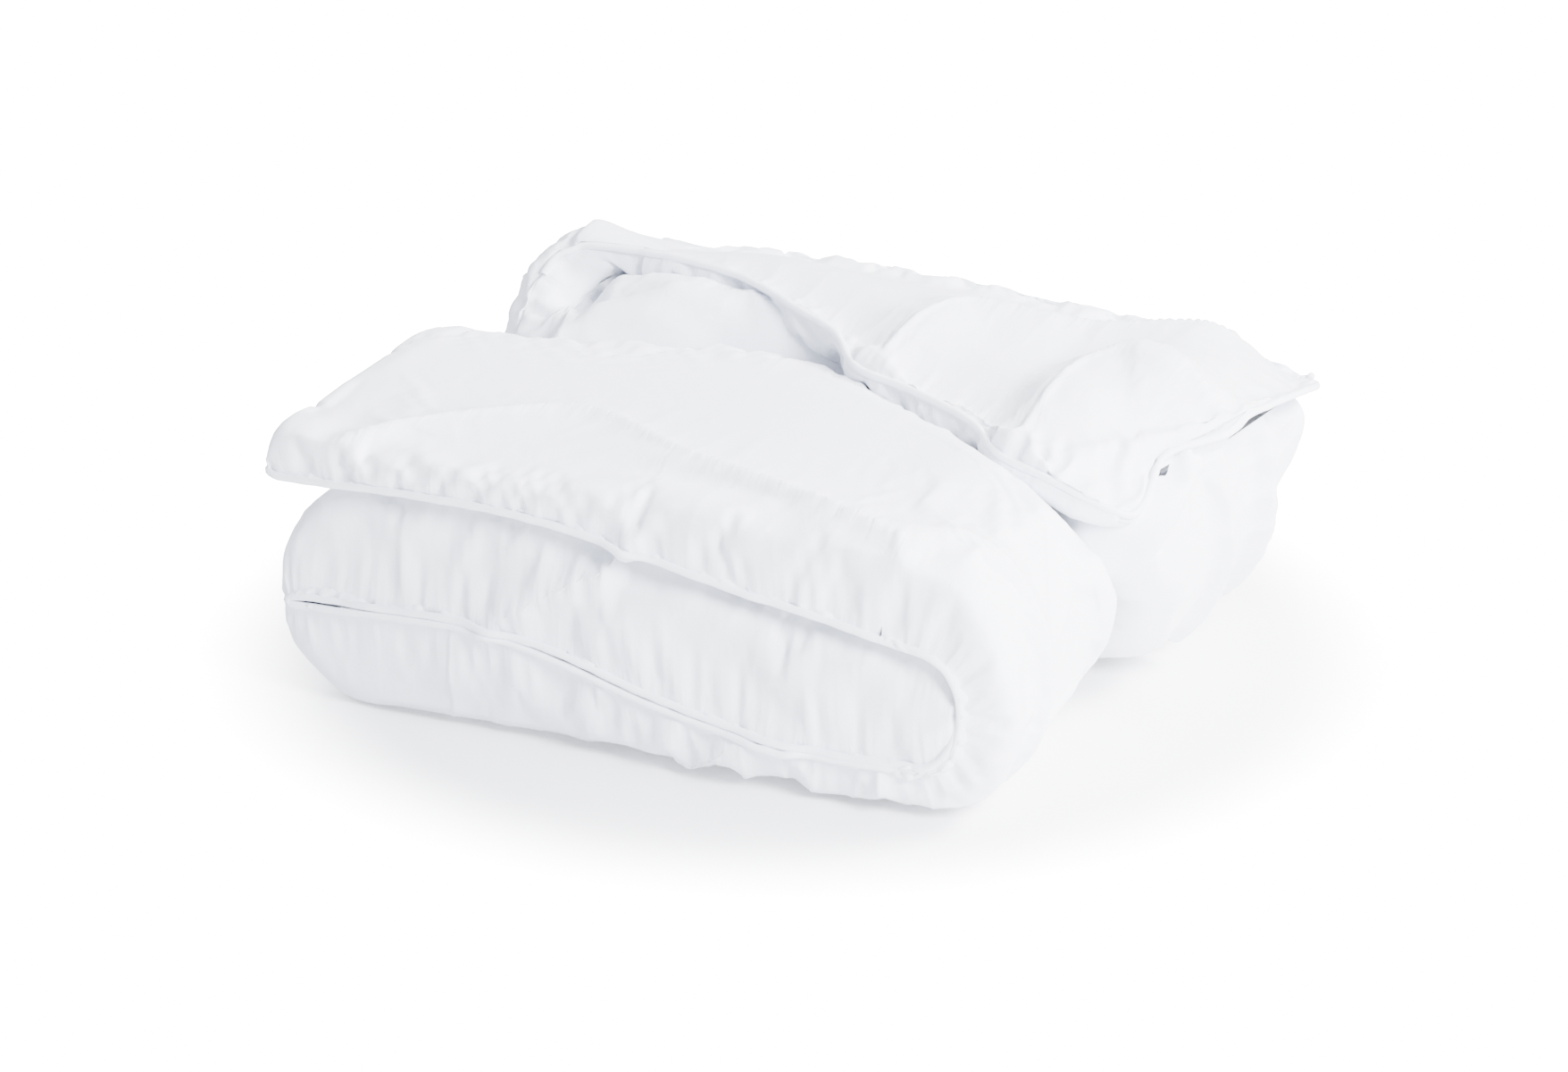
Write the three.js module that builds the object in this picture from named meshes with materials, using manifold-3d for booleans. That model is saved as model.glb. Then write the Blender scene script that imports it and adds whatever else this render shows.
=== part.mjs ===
// A 140 x 200 cm quilted duvet, folded into a pile for storage.
//
// The pile has two bundles side by side, with a groove between them. The near bundle is the quilt
// folded in three: a middle leaf nested in the right bend, a bottom leaf on the floor, and a top leaf
// whose left end is free. The far bundle is folded in two, and its left turn carries a flap that lies
// over the top with its right corner free. The top leaf and the flap lift about lines along Y.
//
// Every stretch of quilt is a filling pad between an outer cloth and an inner cloth, which meet at
// the middle of the seamed edge. Millimetres, +Z up, X along the near face, Y away from it.
// The origin is at the centre of the pile's footprint, on the floor.

import * as THREE from 'three';
import { mergeVertices } from 'three/addons/utils/BufferGeometryUtils.js';
import Module from 'manifold-3d';

const wasm = await Module();
wasm.setup();

// ---- driving dimensions ------------------------------------------------------------------------

const nearLength = 650; // near bundle, from left fold to right bend
const pileDepth = 600; // both bundles, near piping to back
const loft = 80; // one leaf of the near bundle
const farLoft = 102; // one leaf of the far bundle, which lies looser
const flapLoft = 80;
const farLeft = 12; // left turn of the far bundle
const farProud = 40; // how far the far bundle's right bend stands past the near one's
const flapProud = 10; // how far the flap's free right end stands past the far bundle, piping included
const nestedEnd = 50; // from the end of the middle leaf to the near bundle's right bend
const nearDepth = 297; // the near bundle at the left
const grooveShift = 75; // how much shallower it is at the right bend
const grooveTurn = 420; // where the groove starts to run forward
const grooveRun = 170; // length over which it does
const grooveGap = 6; // between the two bundles
const liftLine = 400; // the top leaf lifts about this line
const leafLift = 50; // degrees
const flapLift = 75; // degrees
const flapNearLeft = 430; // near edge of the flap at the left turn
const flapCornerRadius = 45;
const nearFacets = 10; // flats round the near bundle's right bend
const farFacets = 8;
const seatFacets = 48; // flats round the seat that a lifting leaf turns in
const clothThickness = 1.2;
const pipingDiameter = 8;
const edgeReach = 34; // a leaf is at full loft this far in from its edge
const seamSide = 0.12; // the seamed edge lies near the inner cloth: its share of the loss of loft
const threadWidth = 1.6;
const threadHeight = 0.8;
const threadPlace = 78; // the lengthwise quilting line, from the near edge
const layerGap = 0.6; // between leaves that lie on each other
const turnHollow = 22; // half width of the hollow inside the left turn
const pocketSlack = 8; // room past the middle leaf's end, inside the bend
const fitGap = 0.3; // between pieces that touch
const fillingGap = 2.2; // between the filling and its cloth
const hingeGap = 0.9; // between a leaf and the rounded seat that it turns in
const labelWidth = 40;
const labelHeight = 50;
const labelThickness = 0.8;
const labelPlace = 150; // from the left end of the far bundle

// ---- places worked out from them ---------------------------------------------------------------

const nestedReach = nearLength - nestedEnd;
const farRight = nearLength + farProud;
const flapRight = farRight + flapProud;

const middleLevel = loft + layerGap;
const topLevel = 2 * middleLevel;
const nearHeight = topLevel + loft;
const bend = { x: nearLength - nearHeight / 2, z: nearHeight / 2 };
const foldRadius = middleLevel - layerGap / 2;
const nest = { x: nestedReach - loft / 2, z: nearHeight / 2 };
const leafAxis = { x: liftLine, z: topLevel + loft / 2 };

const farUpper = farLoft + layerGap;
const farHeight = farUpper + farLoft;
const farBend = { x: farRight - farHeight / 2, z: farHeight / 2 };
const flapLevel = farHeight + layerGap;
const turn = { x: farLeft + (farLoft + flapLoft) / 2, z: farHeight + layerGap / 2 };
const flapAxis = { x: turn.x, z: flapLevel + flapLoft / 2 };

const pipingRadius = pipingDiameter / 2;
const edgeFront = pipingDiameter + fitGap;
const pileBack = pileDepth - labelThickness - fitGap;
const skin = clothThickness + fillingGap; // from the outside of the cloth to the filling
const edgeSteps = [
  { reach: 0, share: 0.3 },
  { reach: edgeReach * 0.35, share: 0.74 },
  { reach: edgeReach, share: 1 },
];

// ---- colours -----------------------------------------------------------------------------------

function fabric(colour, roughness) {
  return new THREE.MeshStandardMaterial({ color: colour, roughness, metalness: 0 });
}

const clothColour = () => fabric(0xf1f3f6, 0.72);
const fillingColour = () => fabric(0xfafafa, 0.95);
const pipingColour = () => fabric(0xf5f6f8, 0.6);
const threadColour = () => fabric(0xe6e9ee, 0.55);
const labelColour = () => fabric(0xf7f7f4, 0.5);

// ---- solids ------------------------------------------------------------------------------------

function toSolid(geometry) {
  const bare = geometry.clone();
  bare.deleteAttribute('normal');
  bare.deleteAttribute('uv');
  const merged = mergeVertices(bare, 1e-4);
  const vertProperties = Float32Array.from(merged.attributes.position.array);
  const triVerts = Uint32Array.from(merged.index.array);
  return new wasm.Manifold(new wasm.Mesh({ numProp: 3, vertProperties, triVerts }));
}

function toGeometry(solid) {
  const mesh = solid.getMesh();
  const geometry = new THREE.BufferGeometry();
  geometry.setAttribute('position', new THREE.BufferAttribute(mesh.vertProperties, 3));
  geometry.setIndex(new THREE.BufferAttribute(mesh.triVerts, 1));
  geometry.computeVertexNormals();
  return geometry;
}

// A plan outline becomes a slab between two levels. edge rounds its rim like a cushion's, and
// shrink takes the outline in.
function slab(outline, bottom, top, edge = 0, shrink = 0) {
  const geometry = new THREE.ExtrudeGeometry(new THREE.Shape(outline), {
    depth: top - bottom - 2 * edge,
    bevelEnabled: edge + shrink > 0,
    bevelThickness: edge,
    bevelSize: edge,
    bevelOffset: -edge - shrink,
    bevelSegments: 4,
    steps: 1,
  });
  geometry.translate(0, 0, bottom + edge);
  return toSolid(geometry);
}

// A box lying along Y through the whole pile, turned about its own axis line.
function turnedBox(axis, length, height, degrees) {
  const geometry = new THREE.BoxGeometry(length, 2 * pileDepth, height);
  geometry.translate(length / 2, 0, 0);
  geometry.rotateY(THREE.MathUtils.degToRad(degrees));
  geometry.translate(axis.x, pileDepth / 2, axis.z);
  return toSolid(geometry);
}

// What a leaf needs clear of it to swing from rest to its full lift. heading is its direction at
// full lift, in degrees above +X.
function swingSpace(axis, height, heading) {
  const radius = height / 2 + hingeGap;
  const seat = new THREE.CylinderGeometry(radius, radius, 2 * pileDepth, seatFacets);
  seat.translate(axis.x, pileDepth / 2, axis.z);
  return toSolid(seat).add(turnedBox(axis, 4 * height, 2 * radius, -heading));
}

// A path that a tube follows from point to point, with a section at each.
class PointPath extends THREE.Curve {
  constructor(points) {
    super();
    this.points = points;
  }

  indexAt(share) {
    return Math.round(share * (this.points.length - 1));
  }

  getPointAt(share) {
    return this.points[this.indexAt(share)].clone();
  }

  getTangentAt(share) {
    const i = this.indexAt(share);
    const before = this.points[Math.max(i - 1, 0)];
    const after = this.points[Math.min(i + 1, this.points.length - 1)];
    return after.clone().sub(before).normalize();
  }
}

function cordAlong(points) {
  const circle = new THREE.Shape();
  circle.absarc(0, 0, pipingRadius, 0, 2 * Math.PI);
  const steps = points.length - 1;
  return new THREE.ExtrudeGeometry(circle, { steps, extrudePath: new PointPath(points), curveSegments: 6 });
}

// ---- ribbons -----------------------------------------------------------------------------------
// A ribbon is a stretch of quilt seen from the near side: a list of pairs, each holding an inner
// point, an outer point and the depths between which the quilt runs there.

function rib(inner, outer, front, back) {
  return { inner, outer, front, back };
}

function polar(centre, radius, angle) {
  return { x: centre.x + radius * Math.cos(angle), z: centre.z + radius * Math.sin(angle) };
}

function upright(x, low, high, depths) {
  return rib({ x, z: low }, { x, z: high }, depths.front, depths.back);
}

function between(a, b, share) {
  return { x: a.x + (b.x - a.x) * share, z: a.z + (b.z - a.z) * share };
}

function middleOf(entry) {
  return between(entry.inner, entry.outer, 0.5);
}

function spacing(entry, next) {
  const from = middleOf(entry);
  const to = middleOf(next);
  return Math.hypot(to.x - from.x, to.z - from.z);
}

// The rib a distance in from a free end, on the way to the next rib.
function trimmed(entry, next, distance) {
  const share = distance / spacing(entry, next);
  const front = entry.front + (next.front - entry.front) * share;
  const back = entry.back + (next.back - entry.back) * share;
  return rib(between(entry.inner, next.inner, share), between(entry.outer, next.outer, share), front, back);
}

// The rib moved out past a free end, as it is.
function movedOn(entry, next, distance) {
  const share = distance / spacing(entry, next);
  const from = middleOf(entry);
  const to = middleOf(next);
  const moved = (p) => ({ x: p.x - (to.x - from.x) * share, z: p.z - (to.z - from.z) * share });
  return rib(moved(entry.inner), moved(entry.outer), entry.front, entry.back);
}

function withEnds(ribbon, change, distance) {
  const last = ribbon.length - 1;
  const out = ribbon.slice();
  out[0] = change(ribbon[0], ribbon[1], distance);
  out[last] = change(ribbon[last], ribbon[last - 1], distance);
  return out;
}

// Where the middle of the quilt lies between its inner and outer faces, at a share of its loft.
function seamPlace(share) {
  return (1 - share) * seamSide + share / 2;
}

// One cross-section of a ribbon: the loft is scaled to the share, and taken in by a distance.
function section(ribbon, share, shrink) {
  return ribbon.map((entry) => {
    const whole = Math.hypot(entry.outer.x - entry.inner.x, entry.outer.z - entry.inner.z);
    const half = Math.max((whole * share) / 2 - shrink, pipingRadius / 4) / whole;
    const place = seamPlace(share);
    return [between(entry.inner, entry.outer, place - half), between(entry.inner, entry.outer, place + half)];
  });
}

// Joins matching cross-sections into one closed solid. Each section is a strip of point pairs.
function loftSections(sections) {
  const count = sections[0].length;
  const position = sections.flatMap((strip) => strip.flatMap(([a, b]) => [a.x, a.y, a.z, b.x, b.y, b.z]));
  const at = (s, i, side) => (s * count + i) * 2 + side;
  const index = [];
  const quad = (a, b, c, d) => index.push(a, b, c, a, c, d);
  const end = sections.length - 1;
  for (let s = 0; s < end; s += 1) {
    for (let i = 0; i < count - 1; i += 1) {
      quad(at(s, i, 0), at(s, i + 1, 0), at(s + 1, i + 1, 0), at(s + 1, i, 0));
      quad(at(s, i, 1), at(s + 1, i, 1), at(s + 1, i + 1, 1), at(s, i + 1, 1));
    }
    quad(at(s, 0, 0), at(s + 1, 0, 0), at(s + 1, 0, 1), at(s, 0, 1));
    quad(at(s, count - 1, 0), at(s, count - 1, 1), at(s + 1, count - 1, 1), at(s + 1, count - 1, 0));
  }
  for (let i = 0; i < count - 1; i += 1) {
    quad(at(0, i, 0), at(0, i, 1), at(0, i + 1, 1), at(0, i + 1, 0));
    quad(at(end, i, 0), at(end, i + 1, 0), at(end, i + 1, 1), at(end, i, 1));
  }
  const geometry = new THREE.BufferGeometry();
  geometry.setAttribute('position', new THREE.Float32BufferAttribute(position, 3));
  geometry.setIndex(index);
  const solid = toSolid(geometry);
  if (solid.volume() > 0) {
    return solid;
  }
  const flipped = [];
  for (let i = 0; i < index.length; i += 3) {
    flipped.push(index[i], index[i + 2], index[i + 1]);
  }
  geometry.setIndex(flipped);
  return toSolid(geometry);
}

// The quilt of a ribbon, taken in all round by a distance, with cushion-shaped long edges.
function quiltSolid(ribbon, shrink) {
  const taken = withEnds(ribbon, trimmed, shrink);
  const placed = (strip, depthOf) =>
    strip.map((points, i) => points.map((p) => ({ x: p.x, y: depthOf(taken[i]), z: p.z })));
  const fronts = edgeSteps.map(({ reach, share }) =>
    placed(section(taken, share, shrink), (entry) => entry.front + shrink + reach));
  const backs = edgeSteps.map(({ reach, share }) =>
    placed(section(taken, share, shrink), (entry) => entry.back - shrink - reach));
  return loftSections(fronts.concat(backs.reverse()));
}

// The space on one side of the surface that the two cloths meet at, reaching just past its cloth.
function sideSpace(ribbon, outerSide) {
  const spare = layerGap / 4;
  const longer = withEnds(ribbon, movedOn, pocketSlack / 2);
  const strip = (share, depthOf) => longer.map((entry) => {
    const y = depthOf(entry);
    const whole = Math.hypot(entry.outer.x - entry.inner.x, entry.outer.z - entry.inner.z);
    const sign = outerSide ? 1 : -1;
    const low = between(entry.inner, entry.outer, seamPlace(share) + (sign * fitGap) / 2 / whole);
    const high = between(entry.inner, entry.outer, outerSide ? 1 + spare / whole : -spare / whole);
    return [{ x: low.x, y, z: low.z }, { x: high.x, y, z: high.z }];
  });
  const [edge] = edgeSteps;
  const fronts = edgeSteps.map(({ reach, share }) => strip(share, (entry) => entry.front + reach));
  const backs = edgeSteps.map(({ reach, share }) => strip(share, (entry) => entry.back - reach));
  const before = strip(edge.share, (entry) => entry.front - edgeReach);
  const behind = strip(edge.share, (entry) => entry.back + edgeReach);
  return loftSections([before, ...fronts, ...backs.reverse(), behind]);
}

// A cut can leave a sliver thinner than the cloth beside a piece, so the piece is the largest body.
function largestBody(solid) {
  return solid.decompose().reduce((a, b) => (b.volume() > a.volume() ? b : a));
}

// The filling pad and the two cloths of one ribbon, less the space that a swinging leaf needs.
function quiltLayers(ribbon, cut) {
  const trim = (solid) => largestBody(cut ? solid.subtract(cut) : solid);
  const shell = quiltSolid(ribbon, 0).subtract(quiltSolid(ribbon, clothThickness));
  return {
    filling: trim(quiltSolid(ribbon, skin)),
    outer: trim(shell.intersect(sideSpace(ribbon, true))),
    inner: trim(shell.intersect(sideSpace(ribbon, false))),
  };
}

// ---- where the bundles meet --------------------------------------------------------------------

// Depth of the groove's near wall. It runs forward along a straight stretch at the right.
function grooveDepth(x) {
  const share = THREE.MathUtils.clamp((x - grooveTurn) / grooveRun, 0, 1);
  return nearDepth - grooveShift * share;
}

const nearDepths = (x) => ({ front: edgeFront, back: grooveDepth(x) });
const farDepths = (x) => ({ front: grooveDepth(x) + grooveGap, back: pileBack });

// Ribs that round off a free end, where direction is the way that the end points.
function roundedEnd(endX, low, high, direction, depthsAt) {
  const steps = 3;
  const radius = (high - low) / 2;
  const ribs = [];
  for (let i = 0; i < steps; i += 1) {
    const angle = (i / steps) * (Math.PI / 2);
    const x = endX - direction * Math.abs(radius) * (1 - Math.cos(angle));
    const half = Math.sign(radius) * Math.max(Math.abs(radius) * Math.sin(angle), pipingRadius);
    ribs.push(upright(x, low + radius - half, low + radius + half, depthsAt(x)));
  }
  return ribs;
}

// Ribs round a bend from straight down to straight up, bulging to the right.
function bendRibs(centre, outerRadius, innerRadiusAt, steps, depthsAt) {
  const ribs = [];
  for (let i = 0; i <= steps; i += 1) {
    const angle = (i / steps - 0.5) * Math.PI;
    const inner = polar(centre, innerRadiusAt(angle), angle);
    const outer = polar(centre, outerRadius, angle);
    const depths = depthsAt((inner.x + outer.x) / 2);
    ribs.push(rib(inner, outer, depths.front, depths.back));
  }
  return ribs;
}

// ---- near bundle -------------------------------------------------------------------------------

// Distance from the bend's centre to the wall of the pocket that the middle leaf's end lies in.
function pocketRadius(angle) {
  const radius = loft / 2 + layerGap;
  const shift = nest.x + pocketSlack - bend.x;
  if (Math.abs(angle) >= Math.atan2(radius, shift)) {
    return radius / Math.abs(Math.sin(angle));
  }
  const across = shift * Math.sin(angle);
  return shift * Math.cos(angle) + Math.sqrt(radius * radius - across * across);
}

function leftFoldRibs() {
  const steps = 6;
  const centre = { x: foldRadius, z: foldRadius };
  const ribs = [];
  for (let i = 0; i <= steps; i += 1) {
    const angle = Math.PI / 2 + (i / steps) * Math.PI;
    const depths = nearDepths(centre.x);
    ribs.push(rib(polar(centre, layerGap / 2, angle), polar(centre, foldRadius, angle), depths.front, depths.back));
  }
  return ribs;
}

// From the nested end along the middle leaf, round the left fold, along the floor, up the right
// bend and over to the line where the top leaf lifts.
function nearRibbon() {
  return [
    ...roundedEnd(nestedReach, middleLevel, middleLevel + loft, 1, nearDepths),
    upright(nest.x, middleLevel, middleLevel + loft, nearDepths(nest.x)),
    upright(grooveTurn, middleLevel, middleLevel + loft, nearDepths(grooveTurn)),
    ...leftFoldRibs(),
    upright(grooveTurn, loft, 0, nearDepths(grooveTurn)),
    ...bendRibs(bend, nearHeight / 2, pocketRadius, nearFacets, nearDepths),
    upright(grooveTurn, topLevel, nearHeight, nearDepths(grooveTurn)),
    upright(liftLine, topLevel, nearHeight, nearDepths(liftLine)),
  ];
}

function topLeafRibbon() {
  const root = liftLine + loft / 2;
  const depths = () => ({ front: edgeFront, back: grooveDepth(root) });
  return [
    ...roundedEnd(root, topLevel, nearHeight, 1, depths),
    upright(liftLine, topLevel, nearHeight, depths()),
    upright(edgeFront + loft / 2, topLevel, nearHeight, depths()),
    ...roundedEnd(edgeFront, topLevel, nearHeight, -1, depths).reverse(),
  ];
}

// The piping lies in front of the seamed edge.
function edgePoints(ribbon) {
  const [edge] = edgeSteps;
  return ribbon.map((entry) => {
    const seam = between(entry.inner, entry.outer, seamPlace(edge.share));
    return new THREE.Vector3(seam.x, pipingRadius, seam.z);
  });
}

function nearPiping() {
  const points = edgePoints(nearRibbon());
  points[points.length - 1].x = liftLine + pipingDiameter;
  return cordAlong(points);
}

// Along the near edge to the free left end, and back along that end.
function topLeafPiping() {
  const turnedIn = pipingRadius * 1.1;
  const back = grooveDepth(liftLine + loft / 2) - edgeReach / 2;
  const points = edgePoints(topLeafRibbon()).filter((p) => p.x < liftLine);
  const level = points[points.length - 1].z;
  points.unshift(new THREE.Vector3(liftLine - pipingDiameter, pipingRadius, points[0].z));
  points.push(new THREE.Vector3(turnedIn, turnedIn, level));
  points.push(new THREE.Vector3(pipingRadius, 3 * pipingRadius, leafAxis.z));
  points.push(new THREE.Vector3(pipingRadius, back / 2, leafAxis.z));
  points.push(new THREE.Vector3(pipingRadius, back, leafAxis.z));
  return cordAlong(points);
}

// A thread round a right bend, lying on the cloth. It turns at the same facets as the bend does, and
// stops a little short of the bend's foot and top.
function bendThread(centre, radius, facets, place) {
  const low = radius + fitGap;
  const strip = (y) => {
    const points = [];
    for (let i = 2; i < facets; i += 1) {
      const angle = (i / facets - 0.5) * Math.PI;
      const a = polar(centre, low, angle);
      const b = polar(centre, low + threadHeight, angle);
      points.push([{ x: a.x, y, z: a.z }, { x: b.x, y, z: b.z }]);
    }
    return points;
  };
  return toGeometry(loftSections([strip(place), strip(place + threadWidth)]));
}

// ---- far bundle --------------------------------------------------------------------------------

// The left turn swings the quilt from the upper leaf up to the flap, and its near edge draws back.
function turnRibs() {
  const steps = 8;
  const ribs = [];
  for (let i = 0; i <= steps; i += 1) {
    const share = i / steps;
    const angle = -Math.PI / 2 - share * Math.PI;
    const radius = farLoft + (flapLoft - farLoft) * share + layerGap / 2;
    const hollow = layerGap / 2 + turnHollow * Math.sin(share * Math.PI);
    const front = farDepths(turn.x).front + (flapNearLeft - farDepths(turn.x).front) * share;
    ribs.push(rib(polar(turn, radius, angle), polar(turn, hollow, angle), front, pileBack));
  }
  return ribs;
}

// From the free bottom end along the floor, round the right bend, back along the upper leaf and
// up the left turn.
function farRibbon() {
  const freeEnd = farLeft + farLoft / 3;
  const full = freeEnd + farLoft / 2;
  return [
    ...roundedEnd(freeEnd, farLoft, 0, -1, farDepths),
    upright(full, farLoft, 0, farDepths(full)),
    upright(grooveTurn, farLoft, 0, farDepths(grooveTurn)),
    ...bendRibs(farBend, farHeight / 2, () => layerGap / 2, farFacets, farDepths),
    upright(grooveTurn, farUpper, farHeight, farDepths(grooveTurn)),
    ...turnRibs(),
  ];
}

// Plan outline of the flap. Its near edge runs forward beside the groove to a rounded free corner.
function flapOutline() {
  const left = flapAxis.x - flapLoft / 2;
  const right = flapRight - pipingDiameter - fitGap;
  const back = pileBack - pipingDiameter - fitGap;
  const cornerNear = grooveDepth(right) + 2 * grooveGap;
  const r = flapCornerRadius;
  const outline = new THREE.Shape();
  outline.moveTo(left, flapNearLeft);
  outline.lineTo(liftLine - loft, flapNearLeft - flapLoft / 2);
  outline.lineTo(grooveTurn + loft / 2, grooveDepth(grooveTurn) + grooveGap);
  outline.lineTo(grooveTurn + grooveRun - grooveGap, cornerNear);
  outline.lineTo(right - 1.6 * r, cornerNear);
  outline.quadraticCurveTo(right - r / 2, cornerNear, right - r / 3, cornerNear + r);
  outline.lineTo(right, cornerNear + 3 * r);
  outline.lineTo(right, back - r);
  outline.absarc(right - r, back - r, r, 0, Math.PI / 2);
  outline.lineTo(left, back);
  return outline.getPoints(3);
}

// The outline's points moved out by a distance along their mean normals.
function movedOut(points, distance) {
  return points.map((p, i) => {
    const before = points[Math.max(i - 1, 0)];
    const after = points[Math.min(i + 1, points.length - 1)];
    const way = new THREE.Vector2(after.x - before.x, after.y - before.y).normalize();
    return new THREE.Vector2(p.x + way.y * distance, p.y - way.x * distance);
  });
}

// The cushion-edged flap, and its two cloths, which meet half way up.
function flapLayers() {
  const outline = flapOutline();
  const body = (shrink) =>
    slab(outline, flapLevel + shrink, flapLevel + flapLoft - shrink, flapLoft / 2 - shrink, shrink);
  const frame = [
    new THREE.Vector2(-pileDepth, -pileDepth),
    new THREE.Vector2(2 * pileDepth, -pileDepth),
    new THREE.Vector2(2 * pileDepth, 2 * pileDepth),
    new THREE.Vector2(-pileDepth, 2 * pileDepth),
  ];
  const above = slab(frame, flapAxis.z + fitGap / 2, flapAxis.z + flapLoft);
  const below = slab(frame, flapAxis.z - flapLoft, flapAxis.z - fitGap / 2);
  const shell = body(0).subtract(body(clothThickness));
  return { filling: body(skin), outer: shell.intersect(above), inner: shell.intersect(below) };
}

// Along the flap's near edge from the left turn, round its free end, as far as the back corner.
function flapPiping() {
  const outline = flapOutline();
  const [left, next] = outline;
  const startX = flapAxis.x + pipingDiameter;
  const startY = left.y + ((next.y - left.y) * (startX - left.x)) / (next.x - left.x);
  const free = [new THREE.Vector2(startX, startY), ...outline.slice(1, -1)];
  const edge = movedOut(free, pipingRadius + fitGap);
  return cordAlong(edge.map((p) => new THREE.Vector3(p.x, p.y, flapAxis.z)));
}

// ---- quilting and label ------------------------------------------------------------------------

// A line of stitching lying on a level face.
function flatThread(points, level) {
  const line = points.map(([x, y]) => new THREE.Vector2(x, y));
  const outline = movedOut(line, threadWidth / 2).concat(movedOut(line, -threadWidth / 2).reverse());
  return toGeometry(slab(outline, level + fitGap, level + fitGap + threadHeight));
}

// The quilting line starts near the seamed edge, runs in to its furthest point and comes back.
function topLeafThread() {
  const start = edgeFront + edgeReach;
  const peak = grooveDepth(0) / 2;
  return flatThread([[1.4 * loft, start + loft / 2], [2.4 * loft, peak], [liftLine - loft / 2, start + loft / 2]],
    nearHeight);
}

function flapThread() {
  const nearLine = flapNearLeft - flapLoft / 2;
  return flatThread([
    [grooveTurn, nearLine],
    [grooveTurn + loft / 4, nearLine + loft],
    [grooveTurn + grooveRun, pileBack - 1.2 * flapLoft],
  ], flapLevel + flapLoft);
}

// The blank care label hangs from the back edge of the far bundle's upper leaf.
function careLabel() {
  const top = farUpper + farLoft / 2 + pipingRadius;
  const geometry = new THREE.BoxGeometry(labelWidth, labelThickness, labelHeight);
  geometry.translate(labelPlace, pileDepth - labelThickness / 2, top - labelHeight / 2);
  return geometry;
}

// ---- the pile ----------------------------------------------------------------------------------

const duvet = new THREE.Group();
duvet.position.set(-flapRight / 2, -pileDepth / 2, 0);

function add(name, geometry, material) {
  const mesh = new THREE.Mesh(geometry, material);
  mesh.name = name;
  duvet.add(mesh);
}

function addLayers(stretch, layers) {
  add(`${stretch}_filling`, toGeometry(layers.filling), fillingColour());
  add(`${stretch}_outer_cloth`, toGeometry(layers.outer), clothColour());
  add(`${stretch}_inner_cloth`, toGeometry(layers.inner), clothColour());
}

// The far bundle's filling is two pads, which butt together where the upper leaf starts to turn.
function addFarBundle(layers) {
  const above = farUpper - layerGap / 2;
  const cut = new THREE.BoxGeometry(fitGap, 2 * pileDepth, 2 * farHeight);
  cut.translate(turn.x, pileDepth / 2, above + farHeight);
  const [first, second] = layers.filling.subtract(toSolid(cut)).decompose();
  const [main, turned] = first.volume() > second.volume() ? [first, second] : [second, first];
  addLayers('far_bundle', { filling: main, outer: layers.outer, inner: layers.inner });
  add('left_turn_filling', toGeometry(turned), fillingColour());
}

addLayers('near_bundle', quiltLayers(nearRibbon(), swingSpace(leafAxis, loft, 180 - leafLift)));
addLayers('top_leaf', quiltLayers(topLeafRibbon()));
addFarBundle(quiltLayers(farRibbon(), swingSpace(flapAxis, flapLoft, flapLift)));
addLayers('turned_flap', flapLayers());

add('near_bundle_piping', nearPiping(), pipingColour());
add('top_leaf_piping', topLeafPiping(), pipingColour());
add('turned_flap_piping', flapPiping(), pipingColour());

const farThreadPlace = pileBack / 2 + threadPlace;
add('near_bundle_quilting', bendThread(bend, nearHeight / 2, nearFacets, threadPlace), threadColour());
add('far_bundle_quilting', bendThread(farBend, farHeight / 2, farFacets, farThreadPlace), threadColour());
add('top_leaf_quilting', topLeafThread(), threadColour());
add('turned_flap_quilting', flapThread(), threadColour());
add('care_label', careLabel(), labelColour());

export default duvet;
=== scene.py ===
"""A folded quilted duvet: its quilts, piping, stitches and care label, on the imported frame."""

import math

import bmesh
import bpy
import numpy as np
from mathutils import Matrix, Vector
from mathutils.kdtree import KDTree


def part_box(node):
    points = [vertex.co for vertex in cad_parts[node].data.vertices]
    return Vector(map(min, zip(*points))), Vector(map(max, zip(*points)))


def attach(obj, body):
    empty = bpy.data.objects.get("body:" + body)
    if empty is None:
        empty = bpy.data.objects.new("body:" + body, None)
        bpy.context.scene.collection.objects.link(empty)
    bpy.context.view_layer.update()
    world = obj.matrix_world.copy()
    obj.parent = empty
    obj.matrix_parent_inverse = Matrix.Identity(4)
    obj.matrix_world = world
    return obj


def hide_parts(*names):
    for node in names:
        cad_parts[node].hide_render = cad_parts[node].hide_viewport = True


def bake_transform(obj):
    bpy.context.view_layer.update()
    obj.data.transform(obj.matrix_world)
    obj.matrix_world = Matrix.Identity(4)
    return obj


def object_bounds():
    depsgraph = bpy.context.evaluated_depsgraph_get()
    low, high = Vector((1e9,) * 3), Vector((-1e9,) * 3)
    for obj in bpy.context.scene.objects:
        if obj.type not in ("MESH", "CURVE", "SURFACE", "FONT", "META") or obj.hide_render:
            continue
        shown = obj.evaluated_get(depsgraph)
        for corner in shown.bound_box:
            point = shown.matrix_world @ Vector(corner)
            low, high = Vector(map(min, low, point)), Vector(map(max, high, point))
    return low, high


bl_info = {
    "name": "Folded duvet",
    "version": (1, 0, 0),
    "blender": (4, 5, 0),
    "location": "View3D > Sidebar > Duvet",
    "description": "Makes the quilts, piping, stitching, label and stage of a folded duvet",
    "category": "Object",
}

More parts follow.
